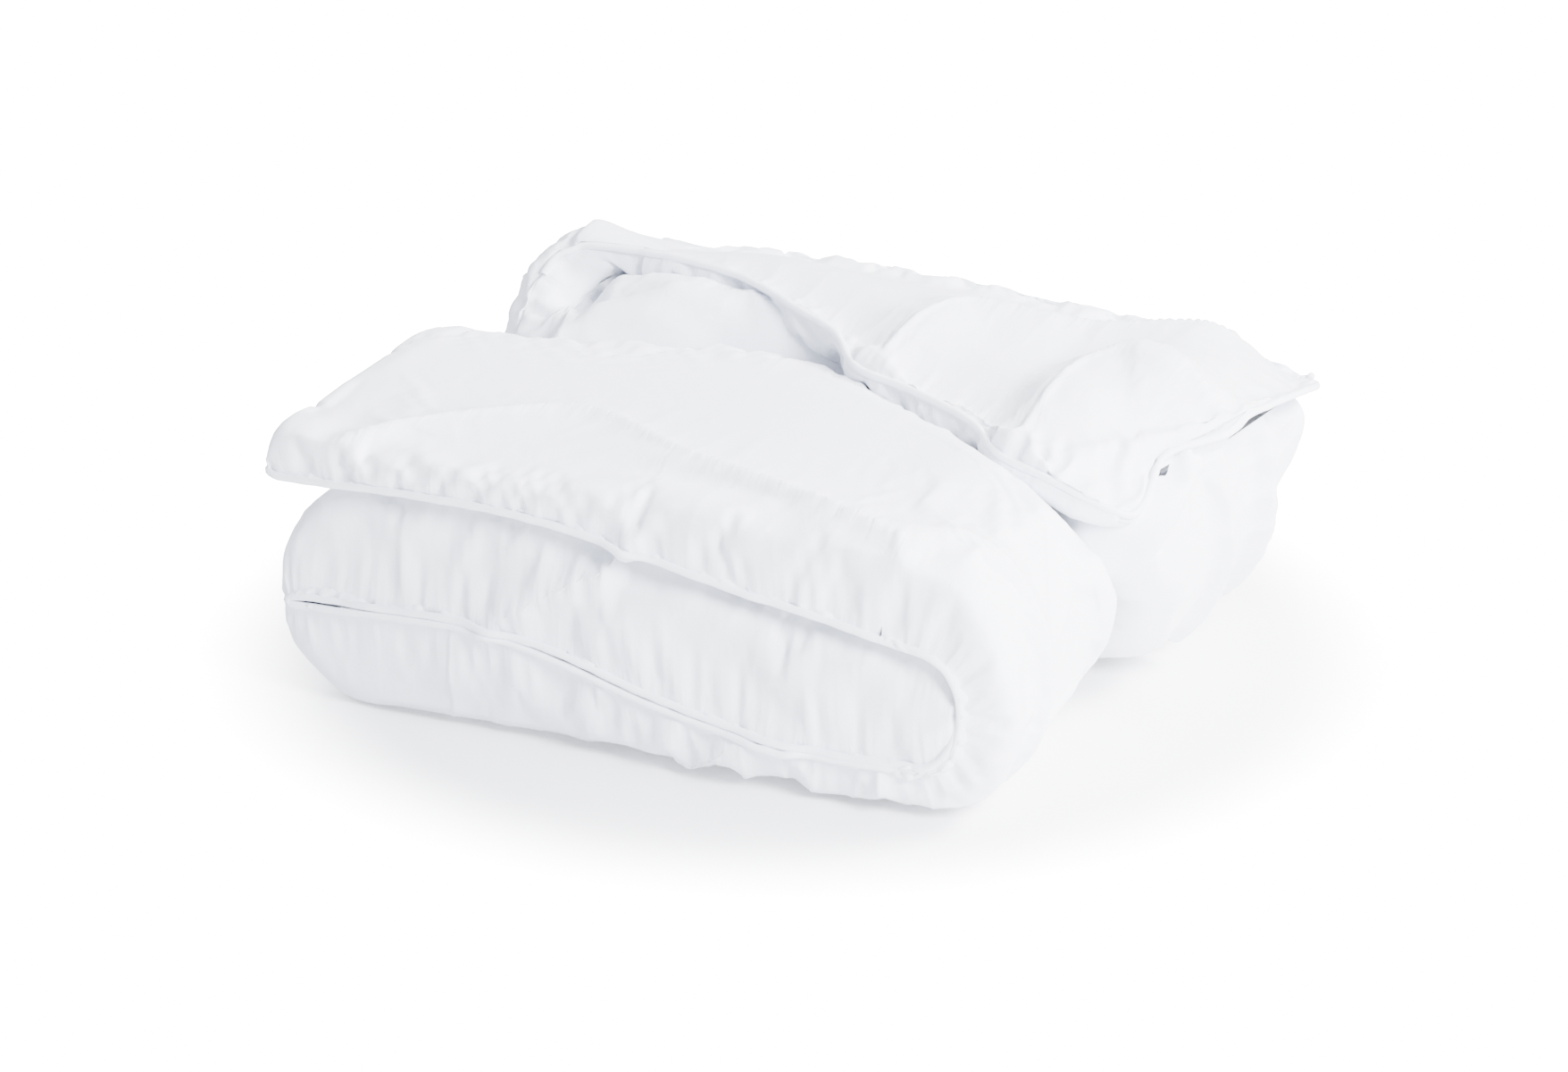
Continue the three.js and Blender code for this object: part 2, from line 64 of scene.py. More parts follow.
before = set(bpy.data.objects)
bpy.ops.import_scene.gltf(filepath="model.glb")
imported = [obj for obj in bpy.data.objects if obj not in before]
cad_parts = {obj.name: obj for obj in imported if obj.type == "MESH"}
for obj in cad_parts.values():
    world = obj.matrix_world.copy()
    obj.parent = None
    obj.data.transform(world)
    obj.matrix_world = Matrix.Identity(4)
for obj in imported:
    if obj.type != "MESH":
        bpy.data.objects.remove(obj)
CAD_BOX = [[float(n) for n in corner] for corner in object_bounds()]

# The shape is drawn in millimetres from the left end, the near edge and the floor of the pile, and
# is scaled to the frame's own box.
LOW = np.array(CAD_BOX[0])
DRAWN = np.array((700.0, 600.0, 286.3))
SCALE = (np.array(CAD_BOX[1]) - LOW) / DRAWN
MM = float(SCALE.mean())

STEP = 8.0  # between ribs, and between points across a face
EDGE = 42.0  # a face reaches full thickness this far from its seam
EDGE_STEPS = 6
SEAM = 0.2  # the far seam's share of the thickness, from the inner face
NEAR_SEAM = 0.02  # the same in the near bundle, whose seams lie in the creases
BULGE = 9.0  # how far a face swells in front of its seam
FACE_POINTS = 28  # across the flat middle of a face
BACK = 598  # y of the far seams at the back of the pile
FLAP_UNDER = 200  # height of the flap's underside at the back
FINER = 4  # ribs of the finished cloth for each drawn rib
FLAP_LEAD = 6  # the flap's piece starts this many ribs before the flap, in the left turn

CLOTH_FRAMES = 16
SLACK = -0.07  # the cloth's fullness beside a seam, as a share of its length

# Each row is a rib of the quilt: inner x, inner z, outer x, outer z, and the y of its near and far
# seams.
NEAR_RIBS = (
    (610, 99, 611, 103, 12, 290),
    (603, 72, 603, 128, 9, 290),
    (585, 52, 585, 144, 8, 290),
    (560, 49, 560, 148, 8, 290),
    (430, 52, 430, 163, 8, 290),
    (340, 68, 340, 180, 8, 290),
    (250, 92, 250, 196, 8, 290),
    (160, 102, 160, 196, 8, 290),
    (96, 100, 96, 194, 8, 290),
    (26, 98, 34, 184, 8, 290),
    (12, 96, 0, 148, 8, 290),
    (5, 94, -11, 92, 9, 290),
    (12, 92, 0, 36, 8, 290),
    (30, 93, 34, 1, 8, 290),
    (110, 98, 100, -1, 8, 292),
    (200, 98, 200, 0, 8, 294),
    (250, 88, 250, 0, 8, 296),
    (340, 64, 340, 0, 8, 300),
    (430, 49, 430, 0, 8, 304),
    (540, 47, 540, 0, 8, 308),
    (585, 50, 600, 8, 8, 304),
    (604, 68, 640, 50, 8, 290),
    (611, 100, 650, 110, 8, 268),
    (604, 130, 642, 170, 8, 238),
    (585, 146, 612, 218, 8, 210),
    (560, 150, 570, 236, 8, 222),
    (470, 166, 480, 242, 8, 276),
    (430, 171, 430, 243, 8, 304),
    (380, 180, 380, 244, 8, 336),
    (300, 195, 300, 244, 8, 372),
    (230, 204, 230, 244, 8, 352),
    (160, 206, 160, 244, 8, 324),
    (96, 205, 96, 245, 8, 312),
    (54, 203, 48, 247, 7, 302),
    (22, 202, 13, 247, 7, 292),
    (6, 202, -4, 239, 7, 284),
    (0, 203, -9, 228, 8, 280),
    (-3, 204, -9, 214, 9, 278),
    (-5, 205, -7, 207, 10, 278),
)

FAR_RIBS = (
    (22, 52, 20, 48, 326, 590),
    (36, 92, 30, 12, 320, 596),
    (90, 100, 88, 0, 318, 598),
    (300, 100, 300, 0, 320, 598),
    (480, 99, 480, 0, 322, 598),
    (560, 99, 594, 3, 318, 598),
    (590, 100, 645, 26, 306, 598),
    (603, 102, 680, 80, 290, 598),
    (606, 104, 692, 140, 262, 598),
    (602, 107, 686, 184, 234, 598),
    (588, 110, 648, 206, 218, 598),
    (560, 111, 592, 212, 228, 598),
    (500, 112, 505, 214, 272, 598),
    (420, 112, 420, 216, 322, 598),
    (300, 112, 300, 224, 384, 598),
    (240, 112, 240, 230, 364, 598),
    (165, 112, 165, 236, 334, 598),
    (90, 110, 98, 236, 320, 598),
    (40, 118, 84, 234, 318, 598),
    (0, 150, 76, 234, 330, 598),
    (-6, 195, 72, 236, 356, 598),
    (8, 238, 74, 240, 390, 598),
    (30, 268, 82, 246, 420, 598),
    (60, 284, 98, 254, 436, 598),
)

# The flap's near seam, and how thick the flap is there.
FLAP_EDGE = (
    (115, 440, 277, 50),
    (158, 435, 278, 54),
    (222, 424, 275, 54),
    (297, 387, 267, 50),
    (348, 359, 261, 46),
    (371, 339, 255, 48),
    (434, 302, 249, 50),
    (518, 259, 243, 52),
    (557, 231, 238, 52),
    (612, 207, 226, 48),
    (640, 208, 215, 38),
    (658, 214, 207, 20),
    (665, 222, 203, 5),
)
# The flap's free right seam, from its near corner to the back.
FLAP_END = (
    (665, 222, 203),
    (668, 244, 209),
    (664, 268, 222),
    (661, 288, 237),
    (674, 306, 239),
    (688, 336, 246),
    (697, 378, 254),
    (706, 396, 247),
    (711, 440, 240),
    (711, 505, 226),
    (700, 552, 210),
    (676, 588, 196),
)
# How high the flap's back edge is, from left to right.
FLAP_BACK = ((60, 230), (125, 237), (200, 242), (374, 242), (538, 226), (610, 232), (690, 203))

# Quilting lines. Each is a run of points near the face that it is sewn into. The first two near
# lines are on the top leaf.
NEAR_LINES = (
    (
        (60, 14, 250),
        (138, 108, 250),
        (196, 150, 250),
        (336, 96, 247),
        (450, 62, 243),
        (550, 25, 238),
    ),
    ((550, 25, 238), (555, 16, 231), (558, 10, 224)),
    ((198, 2, 108), (230, 0, 128), (266, 0, 151), (298, 2, 171), (322, 8, 184)),
    ((370, 4, 4), (395, 0, 22), (420, 0, 42), (466, 2, 47)),
)
RIGHT_LINES = (((582, 62, 236), (640, 80, 178), (655, 92, 110), (645, 84, 50), (606, 70, 10)),)
FLAP_LINES = (
    (
        (398, 336, 262),
        (406, 400, 275),
        (420, 456, 285),
        (508, 479, 285),
        (575, 513, 285),
        (640, 560, 270),
    ),
    (
        (561, 236, 245),
        (568, 286, 262),
        (580, 361, 270),
        (602, 378, 270),
        (640, 368, 262),
        (684, 352, 250),
    ),
)
SIDE_LINES = (
    ((600, 330, 210), (660, 352, 205), (690, 372, 160), (684, 392, 90), (640, 402, 20)),
    ((640, 440, 205), (684, 462, 190), (692, 482, 130), (676, 500, 70), (630, 520, 10)),
)


# ---- drawing -----------------------------------------------------------------------------------


def at(points):
    """Drawn millimetres become places in the frame."""
    return LOW + np.asarray(points, float) * SCALE


def smooth(low, high, value):
    """0 at low and 1 at high, with a soft start and end."""
    t = np.clip((value - low) / (high - low), 0, 1)
    return t * t * (3 - 2 * t)


def hill(value, centre, width):
    """1 at the centre, falling to a third of that at width."""
    return np.exp(-(((value - centre) / width) ** 2))


def spline(rows, spacing):
    """A smooth run through rows of numbers, with no two neighbours further apart than spacing."""
    p = np.asarray(rows, float)
    gap = np.linalg.norm(np.diff(p, axis=0), axis=1)
    t = np.concatenate([[0], np.cumsum(gap)])
    slope = np.diff(p, axis=0) / gap[:, None]
    tangent = np.empty_like(p)
    tangent[0], tangent[-1] = slope[0], slope[-1]
    ahead, behind = gap[1:, None], gap[:-1, None]
    tangent[1:-1] = (slope[1:] * behind + slope[:-1] * ahead) / (ahead + behind)

    def sample(where):
        i = np.clip(np.searchsorted(t, where, side="right") - 1, 0, len(gap) - 1)
        h = gap[i][:, None]
        q = (where - t[i])[:, None] / h
        return (
            (2 * q**3 - 3 * q**2 + 1) * p[i]
            + (q**3 - 2 * q**2 + q) * h * tangent[i]
            + (3 * q**2 - 2 * q**3) * p[i + 1]
            + (q**3 - q**2) * h * tangent[i + 1]
        )

    dense = np.linspace(0, t[-1], 3000)
    step = np.abs(np.diff(sample(dense), axis=0)).max(axis=1)
    walked = np.concatenate([[0], np.cumsum(step)])
    count = int(math.ceil(walked[-1] / spacing)) + 1
    places = np.interp(np.linspace(0, walked[-1], count), walked, dense)
    return sample(places)


def across(width, count):
    """Distances from the near seam of the points of one face, and their share of full loft."""
    turn = np.linspace(0, math.pi / 2, EDGE_STEPS + 1)[1:]
    reach = min(EDGE, width / 2.4)
    rise = np.sin(turn)
    near = reach * (1 - np.cos(turn)) - BULGE * np.sin(2 * turn)
    middle = np.linspace(reach, width - reach, count + 2)[1:-1]
    places = np.concatenate([near, middle, width - near[::-1]])
    share = np.concatenate([rise, np.ones(count), rise[::-1]])
    return places, share


def ribbon(near, far, count, seam):
    """Loops of points round a quilt. near and far hold each rib's inner and outer ends.

    A loop runs from the near seam over the outer face to the far seam, and back over the inner."""
    loops = []
    for (inner_near, outer_near), (inner_far, outer_far) in zip(near, far):
        width = inner_far[1] - inner_near[1]
        places, share = across(width, count)
        rows = []
        for d, t in (
            [(0.0, seam)]
            + [(d, seam + (1 - seam) * e) for d, e in zip(places, share)]
            + [(width, seam)]
            + [(d, seam * (1 - e)) for d, e in zip(places[::-1], share[::-1])]
        ):
            v = d / width
            a = inner_near + (outer_near - inner_near) * t
            b = inner_far + (outer_far - inner_far) * t
            rows.append(a + (b - a) * v)
        loops.append(rows)
    return np.array(loops)


def rib_ends(rows):
    """Rows of six numbers become near and far pairs of points."""
    near = [((r[0], r[4], r[1]), (r[2], r[4], r[3])) for r in rows]
    far = [((r[0], r[5], r[1]), (r[2], r[5], r[3])) for r in rows]
    return np.array(near, float), np.array(far, float)


def close_tip(loops, last):
    """The end rib's inner and outer points are drawn onto one seam."""
    k = (loops.shape[1] - 2) // 2
    row = loops[-1 if last else 0]
    outer, inner = row[1 : 1 + k].copy(), row[:-k - 1 : -1].copy()
    seam = (outer + inner) / 2
    row[1 : 1 + k] = seam
    row[:-k - 1 : -1] = seam


def faces_of(loops, closed_ends=False):
    """Quads between neighbouring loops."""
    n, m = loops.shape[:2]
    i, j = np.meshgrid(np.arange(n - 1), np.arange(m), indexing="ij")
    k = (j + 1) % m
    quads = np.stack([i * m + j, (i + 1) * m + j, (i + 1) * m + k, i * m + k], axis=-1)
    faces = quads.reshape(-1, 4).tolist()
    if closed_ends:
        faces.append(list(range(m)))
        faces.append(list(range((n - 1) * m, n * m))[::-1])
    return faces


def normals_of(loops):
    along = np.gradient(loops, axis=0)
    round_ = (np.roll(loops, -1, axis=1) - np.roll(loops, 1, axis=1)) / 2
    normal = np.cross(along, round_)
    length = np.linalg.norm(normal, axis=2, keepdims=True)
    return normal / np.maximum(length, 1e-9)


def finer_along(loops):
    """Twice as many loops, on a smooth surface through the old ones."""
    padded = np.concatenate([2 * loops[:1] - loops[1:2], loops, 2 * loops[-1:] - loops[-2:-1]])
    between = (-padded[:-3] + 9 * padded[1:-2] + 9 * padded[2:-1] - padded[3:]) / 16
    tall = np.empty((2 * len(loops) - 1, *loops.shape[1:]))
    tall[0::2], tall[1::2] = loops, between
    return tall


def finer(loops):
    """Twice as many loops, and points in each, on a smooth surface through the old ones."""
    n, m = loops.shape[:2]
    ahead, further = np.roll(loops, -1, 1), np.roll(loops, -2, 1)
    side = (-np.roll(loops, 1, 1) + 9 * loops + 9 * ahead - further) / 16
    wide = np.empty((n, 2 * m, 3))
    wide[:, 0::2], wide[:, 1::2] = loops, side
    return finer_along(wide)


# ---- quilting lines ----------------------------------------------------------------------------


def tree_of(points):
    tree = KDTree(len(points))
    for i, p in enumerate(points):
        tree.insert(p, i)
    tree.balance()
    return tree


def evened(points, passes):
    """A run of points with its corners rounded off, in place."""
    for _ in range(passes):
        points[1:-1] = (points[:-2] + 2 * points[1:-1] + points[2:]) / 4
    return points


def laid_on(loops, points, allowed, spacing=3.0):
    """A Line through points, moved onto the allowed part of a quilt's surface."""
    tree = tree_of(loops[allowed])
    found = []
    for p in spline(points, spacing):
        nearest = tree.find_n(p, 4)
        weight = np.array([1 / (d + 0.5) ** 2 for _, _, d in nearest])
        place = np.array([tuple(co) for co, _, _ in nearest])
        found.append((place * weight[:, None]).sum(0) / weight.sum())
    return Line(evened(np.array(found), 3))


class Line:
    """A line on a quilt, as closely spaced points with a distance and a place along it."""

    def __init__(self, points):
        self.points = np.asarray(points)
        gap = np.linalg.norm(np.diff(self.points, axis=0), axis=1)
        self.along = np.concatenate([[0], np.cumsum(gap)])
        self.tree = tree_of(self.points)

    def measure(self, flat, reach):
        """Distance and place along the line of each point, with far points left at reach."""
        distance = np.full(len(flat), reach)
        along = np.zeros(len(flat))
        low, high = self.points.min(0) - reach, self.points.max(0) + reach
        inside = np.flatnonzero(((flat > low) & (flat < high)).all(axis=1))
        for i in inside:
            _, j, d = self.tree.find(flat[i])
            if d < reach:
                distance[i], along[i] = d, j
        index = along.astype(int)
        tangent = np.gradient(self.points, axis=0)
        tangent /= np.maximum(np.linalg.norm(tangent, axis=1, keepdims=True), 1e-6)
        past = ((flat - self.points[index]) * tangent[index]).sum(axis=1)
        return distance, self.along[index] + np.clip(past, -4, 4)


def face_masks(loops):
    """Which points lie on the outer face, and which on the seams."""
    n, m = loops.shape[:2]
    k = (m - 2) // 2
    outer = np.zeros((n, m), bool)
    outer[:, 0 : k + 2] = True
    seams = np.zeros((n, m), bool)
    seams[:, [0, k + 1]] = True
    seams[[0, -1], :] = True
    return outer, seams


# ---- cloth -------------------------------------------------------------------------------------


def blow_up(loops, hold, taut):
    """Cloth under pressure, held by each point's own weight; no point moves past the swell."""
    cap = sizes().swell / MM
    mesh = bpy.data.meshes.new("swelling")
    mesh.from_pydata((loops.reshape(-1, 3) / 1000).tolist(), [], faces_of(loops))
    thing = bpy.data.objects.new("swelling", mesh)
    bpy.context.scene.collection.objects.link(thing)
    held = thing.vertex_groups.new(name="held")
    full = thing.vertex_groups.new(name="taut")
    steps = 40
    for group, weight in ((held, hold.reshape(-1)), (full, taut.reshape(-1))):
        for level in range(steps + 1):
            index = np.flatnonzero(np.round(weight * steps) == level)
            if len(index):
                group.add(index.tolist(), level / steps, "REPLACE")
    cloth = thing.modifiers.new("Cloth", "CLOTH")
    s = cloth.settings
    s.quality = 6
    s.mass = 0.2
    s.tension_stiffness = s.compression_stiffness = 14
    s.shear_stiffness = 6
    s.bending_stiffness = 0.4
    s.tension_damping = s.compression_damping = s.shear_damping = 12
    s.use_pressure = True
    s.uniform_pressure_force = sizes().pressure
    s.effector_weights.gravity = 0
    s.vertex_group_mass = "held"
    s.pin_stiffness = 1.2
    s.vertex_group_shrink = "taut"
    s.shrink_min, s.shrink_max = SLACK, 0.0
    cloth.collision_settings.use_collision = False
    cloth.collision_settings.use_self_collision = False
    cloth.point_cache.frame_start = 1
    cloth.point_cache.frame_end = CLOTH_FRAMES
    for number in range(1, CLOTH_FRAMES + 1):
        bpy.context.scene.frame_set(number)
    ready = thing.evaluated_get(bpy.context.evaluated_depsgraph_get())
    found = np.empty(len(mesh.vertices) * 3, np.float32)
    ready.data.vertices.foreach_get("co", found)
    bpy.context.scene.frame_set(1)
    bpy.data.objects.remove(thing)
    bpy.data.meshes.remove(mesh)
    move = found.reshape(loops.shape).astype(float) * 1000 - loops
    length = np.linalg.norm(move, axis=2, keepdims=True)
    limit = cap * np.tanh(length / cap) / np.maximum(length, 1e-6)
    return loops + move * limit


# ---- pieces ------------------------------------------------------------------------------------


def new_piece(name, verts, faces, material, uv=None, masks=None):
    """A mesh at its place in the frame, smooth, facing outwards, with its doubles merged."""
    mesh = bpy.data.meshes.new(name)
    mesh.from_pydata(at(verts).tolist(), [], faces)
    if uv is not None:
        layer = mesh.uv_layers.new(name="weave")
        corner = np.empty(len(mesh.loops), np.int32)
        mesh.loops.foreach_get("vertex_index", corner)
        layer.data.foreach_set("uv", uv[corner].astype(np.float32).reshape(-1))
    for key, values in (masks or {}).items():
        attribute = mesh.attributes.new(key, "FLOAT", "POINT")
        attribute.data.foreach_set("value", values.astype(np.float32).reshape(-1))
    bm = bmesh.new()
    bm.from_mesh(mesh)
    bmesh.ops.remove_doubles(bm, verts=bm.verts, dist=2e-5)
    bmesh.ops.recalc_face_normals(bm, faces=bm.faces)
    for face in bm.faces:
        if len(face.verts) > 4:
            for edge in face.edges:
                edge.smooth = False
    bm.to_mesh(mesh)
    bm.free()
    mesh.polygons.foreach_set("use_smooth", [True] * len(mesh.polygons))
    mesh.materials.append(material)
    piece = bpy.data.objects.new(name, mesh)
    bpy.context.scene.collection.objects.link(piece)
    return piece


def tube(path, radius, sides):
    """Rings of points along a path, drawn in millimetres."""
    path = np.asarray(path, float)
    ahead = np.gradient(path, axis=0)
    ahead /= np.linalg.norm(ahead, axis=1, keepdims=True)
    up = np.tile((0.0, 0.0, 1.0), (len(path), 1))
    steep = np.abs(ahead[:, 2]) > 0.9
    up[steep] = (0.0, 1.0, 0.0)
    side = np.cross(ahead, up)
    side /= np.linalg.norm(side, axis=1, keepdims=True)
    for i in range(1, len(side)):
        drawn = side[i - 1] - ahead[i] * (side[i - 1] @ ahead[i])
        side[i] = drawn / np.linalg.norm(drawn)
    up = np.cross(side, ahead)
    turn = np.arange(sides) * 2 * math.pi / sides
    r = np.broadcast_to(radius, (len(path),))[:, None, None]
    cosine, sine = np.cos(turn)[None, :, None], np.sin(turn)[None, :, None]
    return path[:, None] + (cosine * side[:, None] + sine * up[:, None]) * r


MADE = {}


def chance(number, seed):
    """An even spread of values from 0 to 1, the same on each run."""
    return np.mod(np.sin(number * 12.9898 + seed * 78.233) * 43758.5453, 1.0)


def gathers(loops, lines, pitch, fade, depth, skew=0.0, crease=0.0, seed=1.0, where=1.0):
    """Puckers that run out from seams and lines, with a crease along each line.

    pitch is the room that each takes along the line, fade its length, depth its height, and skew
    how far it leans. where is the share of that height in each place."""
    n, m = loops.shape[:2]
    flat = loops.reshape(-1, 3)
    normal = normals_of(loops).reshape(-1, 3)
    lift = np.zeros(len(flat))
    gathered = np.zeros(len(flat))
    for number, line in enumerate(lines):
        distance, along = line.measure(flat, fade * 3.2)
        turn = (along + distance * skew) / pitch
        turn = turn + 0.35 * np.sin(along / pitch / 2.3 + number + seed)
        fold = np.floor(turn)
        long_ = fade * (0.5 + chance(fold, number + seed))
        strong = 0.35 + 0.65 * chance(fold + 0.5, number + seed)
        near = np.exp(-((distance / long_) ** 1.6)) * (distance < fade * 3.2)
        puff = np.abs(np.sin(turn * math.pi)) ** 0.75 - 0.6
        lift += depth * near * strong * puff * smooth(0, 7, distance)
        lift -= crease * hill(distance, 0, 3.2)
        gathered = np.maximum(gathered, np.exp(-distance / fade) * (distance < fade * 3.2))
    lift = lift.reshape(n, m, 1) * where
    return loops + normal.reshape(n, m, 3) * lift, gathered.reshape(n, m)


def uv_of(loops):
    """Lengths along the cloth and round it, in metres."""
    along = np.linalg.norm(np.diff(loops, axis=0), axis=2).mean(axis=1)
    u = np.concatenate([[0], np.cumsum(along)]) / 1000
    round_ = np.linalg.norm(np.diff(loops, axis=1), axis=2).mean(axis=0)
    v = np.concatenate([[0], np.cumsum(round_)]) / 1000
    return np.stack(np.broadcast_arrays(u[:, None], v[None, :]), axis=-1)


def quilt_piece(name, loops, uv, gathered, start, stop):
    part = loops[start : stop + 1].copy()
    part[..., 2] = np.maximum(part[..., 2], 0.0)
    return new_piece(
        name,
        part.reshape(-1, 3),
        faces_of(part, closed_ends=True),
        MADE["cloth"],
        uv=uv[start : stop + 1].reshape(-1, 2),
        masks={"gathered": gathered[start : stop + 1]},
    )


def clear_selection():
    for thing in bpy.context.selected_objects:
        thing.select_set(False)


# ---- materials ---------------------------------------------------------------------------------


def new_node(nodes, kind, values):
    """A node with the given values in its sockets."""
    node = nodes.new(kind)
    for name, value in values.items():
        node.inputs[name].default_value = value
    return node


def weave_group():
    """Plain weave and the slow wrinkles of loose cloth, as a height and a shade mask."""
    group = bpy.data.node_groups.new("Cloth weave", "ShaderNodeTree")
    for name in ("Threads per metre", "Wrinkle size"):
        group.interface.new_socket(name=name, in_out="INPUT", socket_type="NodeSocketFloat")
    for name in ("Weave height", "Wrinkle height", "Gather height", "Shade"):
        group.interface.new_socket(name=name, in_out="OUTPUT", socket_type="NodeSocketFloat")
    nodes, links = group.nodes, group.links
    entry, leave = nodes.new("NodeGroupInput"), nodes.new("NodeGroupOutput")
    uv = nodes.new("ShaderNodeUVMap")
    uv.uv_map = "weave"
    place = nodes.new("ShaderNodeTexCoord")
    waves = []
    for direction in ("X", "Y"):
        wave = new_node(nodes, "ShaderNodeTexWave", {"Distortion": 0.4, "Detail": 1.0})
        wave.bands_direction = direction
        links.new(uv.outputs["UV"], wave.inputs["Vector"])
        links.new(entry.outputs["Threads per metre"], wave.inputs["Scale"])
        waves.append(wave)
    weave = nodes.new("ShaderNodeMath")
    weave.operation = "MAXIMUM"
    for socket, wave in enumerate(waves):
        links.new(wave.outputs["Fac"], weave.inputs[socket])
    wrinkles = {"Detail": 4.0, "Roughness": 0.55, "Distortion": 0.7}
    slow = new_node(nodes, "ShaderNodeTexNoise", wrinkles)
    links.new(place.outputs["Object"], slow.inputs["Vector"])
    links.new(entry.outputs["Wrinkle size"], slow.inputs["Scale"])
    stretch = new_node(nodes, "ShaderNodeMapping", {"Scale": (95, 11, 1)})
    links.new(uv.outputs["UV"], stretch.inputs["Vector"])
    pleats = {"Scale": 1.0, "Detail": 3.0, "Distortion": 0.5}
    folds = new_node(nodes, "ShaderNodeTexNoise", pleats)
    links.new(stretch.outputs["Vector"], folds.inputs["Vector"])
    gathered = nodes.new("ShaderNodeAttribute")
    gathered.attribute_name = "gathered"
    folded = nodes.new("ShaderNodeMath")
    folded.operation = "MULTIPLY"
    links.new(folds.outputs["Fac"], folded.inputs[0])
    links.new(gathered.outputs["Fac"], folded.inputs[1])
    links.new(folded.outputs[0], leave.inputs["Gather height"])
    patch = new_node(nodes, "ShaderNodeTexNoise", {"Scale": 5.0, "Detail": 2.0})
    links.new(place.outputs["Object"], patch.inputs["Vector"])
    links.new(weave.outputs[0], leave.inputs["Weave height"])
    links.new(slow.outputs["Fac"], leave.inputs["Wrinkle height"])
    links.new(patch.outputs["Fac"], leave.inputs["Shade"])
    return group


def fabric(name, light, shade, roughness, sheen, threads, weave_depth, wrinkle_depth, wrinkle_size):
    """A woven white cloth. light and shade are the two ends of its slow colour variation.

    threads is per metre, the depths are in metres, and wrinkle_size is the scale of its noise."""
    material = bpy.data.materials.new(name)
    material.use_nodes = True
    nodes, links = material.node_tree.nodes, material.node_tree.links
    shader = nodes["Principled BSDF"]
    shader.inputs["Sheen Weight"].default_value = sheen
    shader.inputs["Sheen Roughness"].default_value = 0.45
    shader.inputs["Specular IOR Level"].default_value = 0.35
    effect = nodes.new("ShaderNodeGroup")
    effect.node_tree = MADE["weave"]
    effect.inputs["Threads per metre"].default_value = threads
    effect.inputs["Wrinkle size"].default_value = wrinkle_size
    ramp = nodes.new("ShaderNodeValToRGB")
    ramp.color_ramp.elements[0].position = 0.3
    ramp.color_ramp.elements[0].color = (*shade, 1)
    ramp.color_ramp.elements[1].position = 0.7
    ramp.color_ramp.elements[1].color = (*light, 1)
    links.new(effect.outputs["Shade"], ramp.inputs["Fac"])
    links.new(ramp.outputs["Color"], shader.inputs["Base Color"])
    around = {"To Min": roughness - 0.06, "To Max": roughness + 0.06}
    rough = new_node(nodes, "ShaderNodeMapRange", around)
    links.new(effect.outputs["Weave height"], rough.inputs["Value"])
    links.new(rough.outputs["Result"], shader.inputs["Roughness"])
    fine = new_node(nodes, "ShaderNodeBump", {"Strength": 0.35, "Distance": weave_depth})
    coarse = new_node(nodes, "ShaderNodeBump", {"Strength": 0.5, "Distance": wrinkle_depth})
    gather = new_node(nodes, "ShaderNodeBump", {"Strength": 0.6, "Distance": 0.004})
    links.new(effect.outputs["Gather height"], gather.inputs["Height"])
    links.new(gather.outputs["Normal"], coarse.inputs["Normal"])
    links.new(effect.outputs["Wrinkle height"], coarse.inputs["Height"])
    links.new(effect.outputs["Weave height"], fine.inputs["Height"])
    links.new(coarse.outputs["Normal"], fine.inputs["Normal"])
    links.new(fine.outputs["Normal"], shader.inputs["Normal"])
    return material


# ---- properties --------------------------------------------------------------------------------


class DuvetSizes(bpy.types.PropertyGroup):
    """Sizes that shape the quilts."""

    pressure: bpy.props.FloatProperty(
        name="Pressure", description="How hard the filling pushes on its cloth", default=5.0, min=0
    )
    swell: bpy.props.FloatProperty(
        name="Most swell",
        description="The furthest that the cloth moves from its drawn shape",
        default=11 * MM,
        unit="LENGTH",
    )
    pucker: bpy.props.FloatProperty(
        name="Pucker depth",
        description="Height of the gathers along seams",
        default=1.9 * MM,
        unit="LENGTH",
    )
    piping: bpy.props.FloatProperty(
        name="Piping diameter",
        description="Width of the cord edge",
        default=6.5 * MM,
        unit="LENGTH",
    )
    stitch: bpy.props.FloatProperty(
        name="Stitch length",
        description="Length of one quilting stitch",
        default=5 * MM,
        unit="LENGTH",
    )


class DuvetColours(bpy.types.PropertyGroup):
    """Colours of the duvet and its stage."""

    cloth: bpy.props.FloatVectorProperty(
        name="Cloth",
        description="White of the cover",
        default=(0.885, 0.897, 0.948),
        subtype="COLOR",
    )
    cloth_shade: bpy.props.FloatVectorProperty(
        name="Cloth shade",
        description="The cooler white that the cover varies to",
        default=(0.85, 0.868, 0.935),
        subtype="COLOR",
    )
    thread: bpy.props.FloatVectorProperty(
        name="Thread", description="Quilting thread", default=(0.82, 0.84, 0.87), subtype="COLOR"
    )
    label: bpy.props.FloatVectorProperty(
        name="Label", description="Care label", default=(0.86, 0.86, 0.84), subtype="COLOR"
    )
    floor: bpy.props.FloatVectorProperty(
        name="Floor", description="Studio floor", default=(0.93, 0.93, 0.94), subtype="COLOR"
    )


def sizes():
    return bpy.context.scene.duvet_sizes


def colours():
    return bpy.context.scene.duvet_colours


# ---- operators ---------------------------------------------------------------------------------


